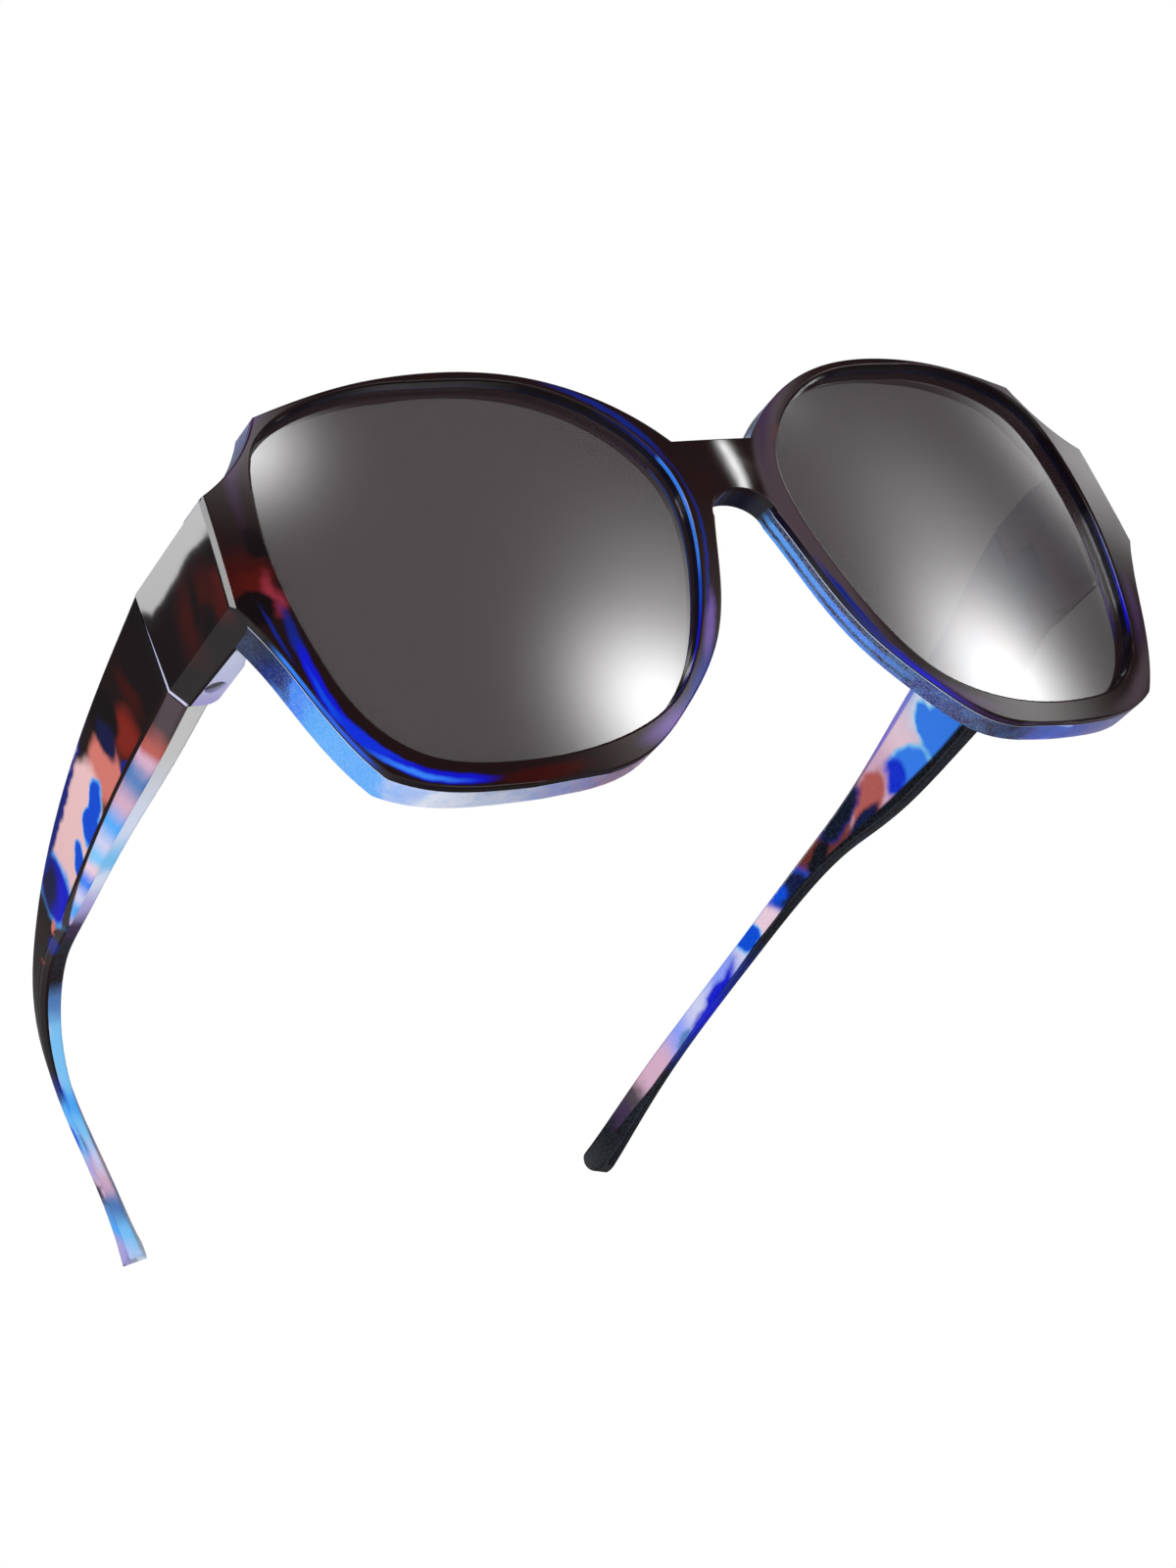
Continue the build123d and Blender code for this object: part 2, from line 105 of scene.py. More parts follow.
class Tree:
    """A node tree that is filled by calls, each giving back a Field."""

    def __init__(self, node_tree):
        self.node_tree = node_tree
        node_tree.nodes.clear()

    def add(self, kind, settings=None, inputs=None, output=0):
        """A node of a kind, with its settings first and then the values or links of its sockets."""
        node = self.node_tree.nodes.new(kind)
        for name, value in (settings or {}).items():
            if name == "stops":
                self.set_stops(node.color_ramp, value)
            else:
                setattr(node, name, value)
        for socket, value in (inputs or {}).items():
            if isinstance(value, Field):
                self.node_tree.links.new(value.socket, node.inputs[socket])
            else:
                node.inputs[socket].default_value = value
        return Field(self, node.outputs[output]) if node.outputs else node

    @staticmethod
    def set_stops(ramp, eased_stops):
        """Fills a ramp from its interpolation and its pairs of position and colour."""
        ramp.interpolation, stops = eased_stops
        while len(ramp.elements) < len(stops):
            ramp.elements.new(1.0)
        for element, (position, colour) in zip(ramp.elements, stops):
            element.position = position
            element.color = (*colour, 1.0)

    def place(self):
        """The place on the piece, in millimetres."""
        coordinate = self.add("ShaderNodeTexCoord", output="Object")
        return self.add(
            "ShaderNodeVectorMath", {"operation": "SCALE"}, {0: coordinate, "Scale": 1 / MILLIMETRE}
        )

    def noise(self, place, size, detail=2.0, output="Fac"):
        """Cloudy noise whose patches are about size across."""
        inputs = {"Vector": place, "Scale": 1 / size, "Detail": detail}
        return self.add("ShaderNodeTexNoise", inputs=inputs, output=output)

    def bent(self, place, size, reach):
        """The place, pushed about by up to half a reach in patches of a size."""
        push = self.noise(place, size, output="Color")
        centred = self.add("ShaderNodeVectorMath", {"operation": "SUBTRACT"}, {0: push, 1: MIDDLE_GREY})
        scaled = self.add("ShaderNodeVectorMath", {"operation": "SCALE"}, {0: centred, "Scale": reach})
        return self.add("ShaderNodeVectorMath", {"operation": "ADD"}, {0: place, 1: scaled})

    def axes(self, place):
        """The three coordinates of a place."""
        first = self.add("ShaderNodeSeparateXYZ", inputs={0: place})
        return [Field(self, socket) for socket in first.socket.node.outputs]

    def step(self, value, low, high):
        """A smooth step from 0 at low to 1 at high."""
        inputs = {"Value": value, "From Min": low, "From Max": high}
        return self.add("ShaderNodeMapRange", {"interpolation_type": "SMOOTHSTEP"}, inputs)

    def band(self, value, low, high, edge):
        """1 between low and high, with soft edges."""
        return self.step(value, low - edge, low + edge) * (1 - self.step(value, high - edge, high + edge))

    def plane(self, across, up):
        """Two coordinates as the vector that patches are placed on."""
        return self.add("ShaderNodeCombineXYZ", inputs={0: across, 1: up})

    def spot(self, plane, patch, growth=1.0):
        """1 inside an oval patch of the plane and 0 outside it, with a soft edge."""
        inputs = {
            "Vector": plane,
            "Location": (*patch["at"], 0),
            "Rotation": (0, 0, math.radians(patch["turn"])),
            "Scale": (*(size * growth for size in patch["size"]), 1),
        }
        moved = self.add("ShaderNodeMapping", {"vector_type": "TEXTURE"}, inputs)
        reach = self.add("ShaderNodeVectorMath", {"operation": "LENGTH"}, {0: moved}, "Value")
        return self.step(reach, 1 + patch["edge"], 1 - patch["edge"])

    def over(self, factor, under, top):
        """One colour laid over another by a factor."""
        return self.add("ShaderNodeMix", {"data_type": "RGBA"}, {0: factor, 6: under, 7: top}, 2)

    def painted(self, base, plane, patches):
        """A colour with patches of other colours on it; neighbours in the list share one halo."""
        for has_halo, neighbours in groupby(patches, key=lambda patch: patch["halo"] is not None):
            run = list(neighbours)
            if has_halo:
                for patch in run:
                    base = self.over(self.spot(plane, patch, HALO_GROWTH), base, opaque(patch["halo"]))
            for patch in run:
                base = self.over(self.spot(plane, patch), base, opaque(patch["colour"]))
        return base

    def along(self, value, span, stops, ease="EASE"):
        """A colour that runs through stops at given values within a span."""
        low, high = span
        share = self.add("ShaderNodeMapRange", inputs={"Value": value, "From Min": low, "From Max": high})
        placed = [((at - low) / (high - low), colour) for at, colour in stops]
        return self.add("ShaderNodeValToRGB", {"stops": (ease, placed)}, {0: share}, "Color")

    def curve(self, value, span, points):
        """A value that runs straight between points, none of them beyond CURVE_REACH."""
        stops = [(at, (height / CURVE_REACH,) * 3) for at, height in points]
        return self.axes(self.along(value, span, stops, "LINEAR"))[0] * CURVE_REACH

    def grain(self, place, size):
        """Fine speckle from 0 to 1."""
        return self.step(self.noise(place, size, 1.0), *GRAIN_RANGE)


def opaque(colour):
    """A colour with full alpha."""
    return (*colour, 1.0)


def patch(at, size, colour, turn=0.0, edge=0.35, halo=None):
    """An oval patch: its middle, half sizes, colour, turn, softness of edge and the colour round it."""
    return {"at": at, "size": size, "colour": colour, "turn": turn, "edge": edge, "halo": halo}


def new_material(name):
    """An empty node material and its tree."""
    material = bpy.data.materials.new(name)
    material.use_nodes = True
    return material, Tree(material.node_tree)


def finish_surface(tree, shader):
    """Joins a shader to the material's output."""
    tree.add("ShaderNodeOutputMaterial", inputs={"Surface": shader})


BLACK = shade(16, 10, 13)
BLACK_BROWN = shade(28, 16, 17)
MAUVE_GREY = shade(74, 62, 68)
PLUM = shade(60, 38, 72)
PURPLE = shade(104, 78, 150)
DARK_RED = shade(54, 14, 12)
BRIGHT_RED = shade(74, 18, 14)
RUST = shade(104, 44, 38)
FLAME_RED = shade(122, 34, 24)
PINK_RED = shade(132, 42, 56)
SALMON = shade(214, 122, 112)
DULL_SALMON = shade(182, 92, 84)
WARM_PINK = shade(240, 196, 198)
PALE_PINK = shade(236, 206, 220)
ROSE = shade(212, 172, 196)
NAVY = shade(18, 20, 62)
NAVY_BLACK = shade(16, 16, 34)
INK_BLUE = shade(20, 34, 120)
VIVID_BLUE = shade(18, 22, 200)
DEEP_BLUE = shade(16, 46, 210)
ROYAL_BLUE = shade(10, 76, 214)
BLUE = shade(56, 130, 244)
AZURE = shade(80, 170, 250)
SKY = shade(128, 200, 250)
STEEL_BLUE = shade(84, 126, 186)
PERIWINKLE = shade(140, 158, 246)
POWDER_BLUE = shade(186, 206, 248)
LAVENDER = shade(176, 168, 222)
PALE_LAVENDER = shade(206, 208, 240)
ICE = shade(222, 230, 250)
FROST = shade(244, 246, 254)
SMOKE = shade(208, 208, 204)

# Patches of the front's face, at x and z.
END_FACE_PATCHES = [
    patch((-72.3, 34.2), (3.4, 3.6), DARK_RED, 10, 0.5),
    patch((-71.6, 32.8), (2.4, 1.9), BRIGHT_RED, 0, 0.6),
    patch((-69.6, 38.6), (1.3, 2.4), BLACK, 14, 0.3),
    patch((-69.9, 30.8), (1.1, 2.7), PINK_RED, 8, 0.6),
    patch((-72.6, 29.6), (2.9, 2.7), BLACK, 0, 0.2),
    patch((10.8, 46.6), (1.4, 1.7), RUST, 20, 0.7),
]

# Patches of the end pieces' outer sides, at y and z.
END_SIDE_PATCHES = [
    patch((-65.2, 34.0), (2.4, 3.0), BRIGHT_RED, 14, 0.7),
    patch((-62.4, 35.4), (2.4, 3.6), DARK_RED, -8, 0.9),
    patch((-56.6, 35.0), (2.4, 4.4), DARK_RED, 14, 0.95),
    patch((-60.8, 32.0), (2.0, 2.4), BLACK, 0, 0.5),
    patch((-59.0, 36.0), (0.9, 3.4), BLACK, 10, 0.8),
]

# Patches of each rim's face, at a turn from below in degrees and millimetres out from the lens.
RIGHT_RIM_PATCHES = [
    patch((80, 3.0), (6, 0.26), INK_BLUE, 2, 0.6),
    patch((76, 1.15), (9, 0.70), INK_BLUE, -2, 0.5),
    patch((64, 1.65), (12, 0.80), VIVID_BLUE, -3, 0.3),
    patch((58, 2.15), (10, 0.34), ROYAL_BLUE, -3, 0.6),
    patch((47, 2.20), (12, 0.85), DEEP_BLUE, -1, 0.3),
    patch((34, 1.95), (12, 0.80), VIVID_BLUE, 3, 0.3),
    patch((38, 2.40), (8, 0.35), BLUE, 3, 0.8),
    patch((9, 1.4), (11, 1.0), DARK_RED, 0, 0.5),
    patch((-29, 1.4), (8, 1.1), PURPLE, 0, 0.8),
    patch((-47, 0.9), (12, 0.8), INK_BLUE, 0, 0.7),
    patch((-62, 0.7), (9, 0.7), PURPLE, 0, 0.6),
    patch((-86, 0.2), (20, 0.25), INK_BLUE, 0, 0.6),
    patch((-128, 0.1), (16, 0.5), INK_BLUE, 0, 0.5),
    # Partly painted reflection: this plum patch along the top outer edge stands in for a mauve sheen on the
    # rounded edge, and partly for the plastic's purple translucence.
    patch((131, 1.6), (16, 0.9), PLUM, 0, 0.8),
]

LEFT_RIM_PATCHES = [
    # Painted reflection: this mauve-grey patch over the nasal side stands in for the sheen of a soft lamp.
    patch((-98, 1.3), (44, 2.0), MAUVE_GREY, 0, 0.35),
    # Partly painted reflection: this plum patch at the upper nasal edge stands in for a lavender sheen, and
    # partly for the plastic's purple translucence.
    patch((-137, 1.9), (24, 0.9), PLUM, 0, 0.8),
    patch((-64, 2.2), (14, 0.8), INK_BLUE, 0, 0.5),
    patch((-40, 2.0), (12, 0.7), VIVID_BLUE, 0, 0.5),
    patch((-28, 1.6), (12, 0.8), PLUM, 0, 0.7),
    # Painted reflection: this mauve-grey patch low on the outer side stands in for a grey lamp sheen.
    patch((43, 2.4), (14, 1.3), MAUVE_GREY, 0, 0.7),
    patch((66, 1.0), (10, 0.9), PLUM, 0, 0.7),
    # Partly painted reflection: this plum patch along the top outer edge stands in for a lavender sheen, and
    # partly for the plastic's purple translucence.
    patch((150, 1.6), (28, 1.1), PLUM, 0, 0.8),
]

# Patches of the temples' dark outsides, at y and z, and those that only the right blade has.
TEMPLE_PATCHES = [
    patch((-37.5, 36.5), (1.4, 4.2), DARK_RED, -16, 0.6),
    patch((-33.6, 32.6), (2.9, 4.0), FLAME_RED, -14, 0.45),
    patch((-25.4, 32.6), (4.4, 4.6), SALMON, -30, 0.22),
    patch((-11.6, 30.8), (11.4, 6.6), WARM_PINK, -18, 0.12),
    patch((-24.4, 30.6), (2.6, 2.4), SALMON, 0, 0.5),
    patch((-29.6, 38.0), (3.4, 4.4), BLACK, -30, 0.2),
    patch((-28.5, 35.0), (2.0, 3.2), NAVY, -10, 0.3),
    patch((-30.0, 29.2), (1.5, 1.5), INK_BLUE, 0, 0.3),
    patch((-19.8, 30.9), (2.9, 1.8), ROYAL_BLUE, -36, 0.12, AZURE),
    patch((-16.4, 29.2), (3.2, 2.1), ROYAL_BLUE, -26, 0.12, AZURE),
    patch((-9.2, 27.4), (2.7, 1.2), ROYAL_BLUE, -50, 0.15, AZURE),
    patch((1.2, 28.9), (4.6, 5.0), VIVID_BLUE, -20, 0.16, AZURE),
    patch((2.6, 30.4), (4.2, 2.6), NAVY, -20, 0.5),
    patch((-10.6, 36.6), (13.0, 1.5), INK_BLUE, -16, 0.3),
    patch((-19.0, 39.2), (3.0, 0.7), LAVENDER, -18, 0.4),
    patch((6.4, 26.0), (1.3, 0.6), SALMON, -20, 0.4),
    patch((10.4, 25.0), (2.0, 0.9), INK_BLUE, -10, 0.4),
    patch((15.8, 25.6), (0.7, 0.4), RUST, 0, 0.5),
]

BLADE_PATCHES = [
    patch((33.0, 23.4), (9.0, 1.7), BLACK, -38, 0.3),
    patch((42.5, 19.8), (5.0, 1.2), INK_BLUE, -42, 0.35),
    patch((51.0, 14.6), (4.0, 0.9), ROYAL_BLUE, -42, 0.35),
    patch((61.0, 8.8), (3.0, 1.0), NAVY, -45, 0.4),
]

# Patches of the temples' clear insides, at y and z.
INSIDE_PATCHES = [
    patch((-30.0, 32.0), (6.0, 5.0), AZURE, 0, 0.3),
    patch((-36.0, 30.0), (4.0, 4.0), SALMON, 0, 0.4),
    patch((-24.0, 33.0), (2.6, 3.6), PALE_PINK, 0, 0.4),
    patch((-16.4, 35.0), (5.0, 1.6), ICE, -18, 0.5),
    patch((-16.6, 28.0), (4.8, 4.6), BLUE, 30, 0.10, SKY),
    patch((-14.4, 31.8), (2.3, 3.1), BLUE, 10, 0.10, SKY),
    patch((-6.6, 27.6), (5.0, 3.5), BLUE, 14, 0.10, SKY),
    patch((-3.0, 28.4), (2.8, 3.0), DEEP_BLUE, 10, 0.3),
    patch((3.6, 28.6), (5.2, 3.0), DULL_SALMON, -24, 0.2, ROSE),
    patch((16.6, 26.8), (7.6, 3.2), RUST, -20, 0.3),
    patch((10.4, 29.8), (5.4, 2.0), NAVY_BLACK, -18, 0.22, INK_BLUE),
    patch((6.6, 26.0), (4.2, 1.5), NAVY, -12, 0.3),
    patch((18.0, 26.2), (3.6, 1.5), BLACK, -24, 0.3),
    patch((25.6, 24.8), (3.8, 2.8), NAVY, -10, 0.25, ROYAL_BLUE),
    patch((28.2, 25.4), (2.0, 1.6), ROYAL_BLUE, -10, 0.5),
    patch((36.4, 22.0), (2.2, 2.0), ROYAL_BLUE, 20, 0.2, SKY),
    patch((45.6, 16.2), (6.4, 1.4), VIVID_BLUE, -36, 0.4),
    patch((42.6, 20.4), (2.6, 1.4), PERIWINKLE, -36, 0.4),
    patch((52.4, 12.6), (1.8, 1.0), STEEL_BLUE, -30, 0.4),
]

# Colours along the temples, at y.
DARK_BLADE_STOPS = [
    (-48, BLACK),
    (-25, BLACK_BROWN),
    (4, BLACK_BROWN),
    (38, BLACK),
]

BLUE_BLADE_STOPS = [
    *DARK_BLADE_STOPS,
    (43, INK_BLUE),
    (46, AZURE),
    (53, SKY),
    (57, LAVENDER),
    (61, ROSE),
    (63, STEEL_BLUE),
    (67, AZURE),
    (70, LAVENDER),
]

INSIDE_STOPS = [
    (-48, SKY),
    (-32, PALE_PINK),
    (-26, AZURE),
    (-20, SKY),
    (-8, PALE_PINK),
    (0, ROSE),
    (6, DULL_SALMON),
    (13, RUST),
    (22, RUST),
    (26, NAVY),
    (30, PALE_PINK),
    (34, PALE_PINK),
    (38, PALE_LAVENDER),
    (43, PERIWINKLE),
    (49, PALE_LAVENDER),
    (53, PERIWINKLE),
    (57, ROSE),
]
DARK_TIP_STOPS = [(60, ROSE), (63, MAUVE_GREY), (66, PLUM), (69, BLACK)]
BLUE_TIP_STOPS = [(63, STEEL_BLUE), (69, PALE_LAVENDER)]

LEFT_LOWER_STOPS = [
    (-20, BLACK),
    (34, BLACK),
    (42, INK_BLUE),
    (48, VIVID_BLUE),
    (54, INK_BLUE),
    (58, BLACK),
]

RIGHT_LOWER_STOPS = [
    (-40, SMOKE),
    (-22, ICE),
    (-13, SKY),
    (-9, ICE),
    (-2, LAVENDER),
    (4, PLUM),
    (10, BLACK),
    (20, BLACK_BROWN),
    (25, STEEL_BLUE),
    (31, SKY),
    (41, SKY),
    (45, AZURE),
    (50, SKY),
    (55, PALE_LAVENDER),
    (59, ROSE),
    (63, STEEL_BLUE),
    (67, SKY),
    (73, ICE),
]

LEFT_UPPER_STOPS = [
    (-20, ROYAL_BLUE),
    (-4, DEEP_BLUE),
    (4, NAVY),
    (20, BLACK),
    (26, INK_BLUE),
    (34, BLUE),
    (50, PERIWINKLE),
    (62, MAUVE_GREY),
]

BEVEL_STOPS = [
    (-41, MAUVE_GREY),
    (-37, DULL_SALMON),
    (-35, ROSE),
    (-31, STEEL_BLUE),
    (-26, ROSE),
    (-21, AZURE),
    (-17, PALE_LAVENDER),
    (-13, SKY),
    (-11, PALE_PINK),
    (-8, BLUE),
    (-4, PALE_LAVENDER),
    (-1, AZURE),
    (3, ROSE),
    (8, INK_BLUE),
]

# Heights of the temples' lower and upper edges, at y.
BLADE_BOTTOM = [
    (-48, 27.3),
    (-24, 25.7),
    (0, 24.3),
    (12, 24.7),
    (18, 24.5),
    (24, 23.4),
    (36, 19.7),
    (48, 14.3),
    (60, 7.3),
    (76, -2.0),
]

BLADE_TOP = [
    (-48, 47.1),
    (-24, 40.3),
    (0, 34.1),
    (12, 30.6),
    (18, 29.0),
    (24, 27.4),
    (36, 23.4),
    (48, 18.2),
    (60, 11.8),
    (76, 2.4),
]

# Colours round the rims, at a turn from below in degrees.
INNER_WALL_STOPS = [
    (-180, BLACK),
    (-135, BLACK),
    (-128, NAVY),
    (-114, INK_BLUE),
    (-112, BLUE),
    (-84, BLUE),
    (-74, ROYAL_BLUE),
    (-60, VIVID_BLUE),
    (-40, INK_BLUE),
    (-20, NAVY),
    (0, BLACK),
    (55, BLACK),
    (64, VIVID_BLUE),
    (80, INK_BLUE),
    (100, BLACK),
]

RIGHT_WALL_STOPS = [
    (-180, PLUM),
    (-120, BLACK),
    (-60, BLACK),
    (-20, PLUM),
    (10, BLACK),
    (44, BLACK),
    (50, ROYAL_BLUE),
    (74, BLUE),
    (80, BLACK),
    (110, BLACK),
    (128, PURPLE),
    (150, PLUM),
]

LEFT_WALL_STOPS = [
    (-180, PLUM),
    (-130, PURPLE),
    (-118, NAVY),
    (-108, BLACK),
    (-70, NAVY_BLACK),
    (-56, INK_BLUE),
    (-40, VIVID_BLUE),
    (-20, PLUM),
    (20, MAUVE_GREY),
    (44, LAVENDER),
    (60, INK_BLUE),
    (90, BLACK),
]

RIGHT_FLANGE_STOPS = [
    (-180, NAVY),
    (-130, NAVY),
    (-110, AZURE),
    (-70, AZURE),
    (-30, LAVENDER),
    (-12, ROSE),
    (4, PALE_LAVENDER),
    (18, FROST),
    (32, FROST),
    (38, POWDER_BLUE),
    (44, AZURE),
    (60, AZURE),
    (68, BLUE),
    (73, INK_BLUE),
    (78, NAVY),
    (86, NAVY_BLACK),
    (93, ICE),
    (124, NAVY),
    (150, LAVENDER),
]

LEFT_FLANGE_STOPS = [
    (-180, LAVENDER),
    (-128, NAVY),
    (-122, NAVY),
    (-116, ICE),
    (-108, AZURE),
    (-60, BLUE),
    (-36, INK_BLUE),
    (-14, PLUM),
    (8, PERIWINKLE),
    (30, LAVENDER),
    (50, PURPLE),
    (62, ROYAL_BLUE),
    (80, NAVY),
    (100, ICE),
    (140, PLUM),
]


RIPPLE = 0.004


class FrontFinish(bpy.types.PropertyGroup):
    """Colours of the front's two layers."""

    dark: colour_property("Dark layer", "Ground colour of the mottled outer layer", BLACK_BROWN)
    clear: colour_property("Clear layer", "Colour of the crystal inner layer", AZURE)
    ripple: FloatProperty(
        name="Ripple", description="How much the polished plastic ripples", default=RIPPLE, min=0.0, max=1.0
    )


class LensFinish(bpy.types.PropertyGroup):
    """Tint of the lenses."""

    tint: colour_property("Tint", "Neutral grey tint of the lenses", (0.024, 0.014, 0.016))
    clearness: FloatProperty(
        name="Clearness",
        description="Share of light that passes each face of the lens",
        default=0.22,
        min=0.0,
        max=1.0,
    )


class TempleFinish(bpy.types.PropertyGroup):
    """Colours of the temples' two layers."""

    # The temples use this colour only for the painted dark reflection line above their lower bevel.
    dark: colour_property("Dark layer", "Ground colour of the mottled outer layer", BLACK_BROWN)
    clear: colour_property("Clear layer", "Colour of the crystal inner layer", SKY)


class ScrewFinish(bpy.types.PropertyGroup):
    """Metal of the hinge screws."""

    metal: colour_property("Metal", "Colour of the polished screw", (0.62, 0.62, 0.66))


class Studio(bpy.types.PropertyGroup):
    """Camera, light and floor."""

    focal_length: FloatProperty(
        name="Focal length", description="Focal length of the camera in millimetres", default=78.75, min=1.0
    )
    floor_width: FloatProperty(
        name="Floor width", description="Width of the floor", default=3.0, unit="LENGTH", subtype="DISTANCE"
    )


PLASTIC_ROUGHNESS = 0.035
PLASTIC_IOR = 1.49
PLASTIC_SPECULAR = 0.15
RIPPLE_SIZE = 9.0


def finish_plastic(tree, place, colour, ripple=RIPPLE):
    """Polished plastic of a colour, with a faint ripple."""
    height = tree.noise(place, RIPPLE_SIZE, FINE_DETAIL)
    bump = {"Strength": ripple, "Distance": MILLIMETRE, "Height": height}
    inputs = {
        "Base Color": colour,
        "Roughness": PLASTIC_ROUGHNESS,
        "IOR": PLASTIC_IOR,
        "Specular IOR Level": PLASTIC_SPECULAR,
        "Normal": tree.add("ShaderNodeBump", inputs=bump),
    }
    finish_surface(tree, tree.add("ShaderNodeBsdfPrincipled", inputs=inputs))


FULL_TURN = (-180, 180)
FACE_BOW = 0.00158
FACE_LEAN = (-0.1208, 0.00156)
FACE_FRONT = -73.47
GUIDE_STEP = 12
GUIDE_NEARNESS = 0.35


def lens_guide():
    """The middle of the left lens, and how far its edge is from there in every direction from below."""
    vertices = [vertex.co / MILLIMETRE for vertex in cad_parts["lens_left"].data.vertices]
    low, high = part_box("lens_left")
    middle = (Vector(low) + Vector(high)) / 2 / MILLIMETRE
    reach = {}
    for vertex in vertices:
        offset = vertex - middle
        steps = math.degrees(math.atan2(offset.x, -offset.z)) / GUIDE_STEP
        key = round(steps)
        if abs(steps - key) < GUIDE_NEARNESS:
            reach[key] = max(reach.get(key, 0), math.hypot(offset.x, offset.z))
    half_turn = round(180 / GUIDE_STEP)
    reach[half_turn] = reach[-half_turn] = max(reach[half_turn], reach[-half_turn])
    return middle, [(key * GUIDE_STEP, reach[key]) for key in sorted(reach)]


def rim_places(tree, place):
    """How the rims see a place: turn from below in degrees, millimetres out from the lens, and depth."""
    x, y, z = tree.axes(place)
    middle, edge_points = lens_guide()
    outward = abs(x) - middle.x
    up = z - middle.z
    turn = outward.maths("ARCTAN2", outward, 0 - up) * math.degrees(1)
    away = (outward * outward + up * up) ** 0.5 - tree.curve(turn, FULL_TURN, edge_points)
    face = x * x * FACE_BOW + z * FACE_LEAN[0] + z * z * FACE_LEAN[1] + FACE_FRONT
    return turn, away, y - face


LEFT_START = (-1.0, 1.0)
CLOUD_SIZE = 9.0
CLOUD_RANGE = (0.50, 0.68)
CLOUD_SHARE = 0.14
FRONT_BEND = (3.5, 3.0)
RAGGED_SIZE = 2.2
RAGGED_REACH = 0.5
SKIN_DEPTH = (0.10, 0.22)
SIDE_START = (73.6, 74.0)
SIDE_DEPTH = (0.9, 1.1)
SEAM_HIGHLIGHT_START = (-47.15, -47.05)
SPECK_SIZE = 0.22
SPECK_SHARE = 0.03


def dark_front_plastic(settings):
    """Near black plastic with red flames at the ends, blue streaks that follow the rims, and painted
    reflections on the rims and at the end pieces' rear edges.
    """
    material, tree = new_material("dark_front_plastic")
    place = tree.place()
    x, y, z = tree.axes(place)
    turn, away, depth = rim_places(tree, place)
    cloud = tree.step(tree.noise(place, CLOUD_SIZE, FINE_DETAIL), *CLOUD_RANGE)
    ground = tree.over(cloud * CLOUD_SHARE, opaque(settings.dark), opaque(DARK_RED))
    bent_x, bent_y, bent_z = tree.axes(tree.bent(place, *FRONT_BEND))
    ground = tree.painted(ground, tree.plane(bent_x, bent_z), END_FACE_PATCHES)
    ragged = tree.noise(place, RAGGED_SIZE) * RAGGED_REACH - RAGGED_REACH / 2
    rim = tree.plane(turn, away + ragged)
    right = tree.painted(ground, rim, RIGHT_RIM_PATCHES)
    left = tree.painted(ground, rim, LEFT_RIM_PATCHES)
    is_left = tree.step(x, *LEFT_START)
    face = tree.over(is_left, right, left)
    wall = rim_wall(tree, turn, away, depth, is_left)
    colour = tree.over(tree.step(depth, *SKIN_DEPTH), face, wall)
    side = tree.painted(opaque(BLACK), tree.plane(bent_y, bent_z), END_SIDE_PATCHES)
    # Painted highlight: a thin pale lavender strip at the end piece's rear edge, by the seam with the
    # temple, stands in for light on its rounded edge.
    side = tree.over(tree.step(y, *SEAM_HIGHLIGHT_START), side, opaque(PALE_LAVENDER))
    is_side = tree.step(abs(x), *SIDE_START) * tree.step(depth, *SIDE_DEPTH)
    colour = tree.over(is_side, colour, side)
    colour = tree.over(tree.grain(place, SPECK_SIZE) * SPECK_SHARE, colour, opaque(MAUVE_GREY))
    finish_plastic(tree, place, colour, settings.ripple)
    return material


INNER_WALL_END = (0.70, 0.85)
OUTER_WALL_SPAN = (0.25, 0.95)
OUTER_WALL_EDGE = 0.08
OUTER_WALL_START = (0.2, 0.4)


def rim_wall(tree, turn, away, depth, is_left):
    """Colour of the walls round the openings and round the front's outline."""
    inner = tree.along(turn, FULL_TURN, INNER_WALL_STOPS)
    inner = tree.over(tree.step(depth, *INNER_WALL_END), inner, opaque(BLACK))
    outer_right = tree.along(turn, FULL_TURN, RIGHT_WALL_STOPS)
    outer_left = tree.along(turn, FULL_TURN, LEFT_WALL_STOPS)
    outer = tree.over(is_left, outer_right, outer_left)
    coloured = tree.band(depth, *OUTER_WALL_SPAN, OUTER_WALL_EDGE)
    outer = tree.over(coloured, opaque(BLACK), outer)
    return tree.over(tree.step(away, *OUTER_WALL_START), inner, outer)


WOBBLE_SIZE = 4.0
WOBBLE_REACH = 16
NASAL_TURN = (-108, -40)
NASAL_EDGE = 4
NASAL_STREAKS = ((2.2, 3.1), (3.7, 4.9))
STREAK_EDGE = 0.12
PALE_LINE_SPAN = (1.05, 1.34)
PALE_LINE_EDGE = 0.05
PALE_LINE_START = (1.0, 1.4)
PALE_LINE_SHARE = 0.7
DIM_TURN = (72, 100)
DIM_EDGE = 6
DIM_SHARE = 0.85
DRIFT_SIZE = 2.4
DRIFT_RANGE = (0.40, 0.66)
DRIFT_SHARE = 0.22
GLITTER_SIZE = 0.24
GLITTER_SHARE = 0.17
STEEL_SPECK_BEND = (1.0, 1.0)
STEEL_SPECK_SIZE = 0.32
STEEL_SPECK_SHARE = 0.10
BRIDGE_HALF = (5.6, 4.8)
SHELF_REACH = (0.6, 0.2)
REAR_DEPTH = (6.0, 7.5)
REAR_SPAN = (-70, -40)
REAR_STOPS = [(-70, AZURE), (-62, ICE), (-54, PALE_LAVENDER), (-46, LAVENDER)]


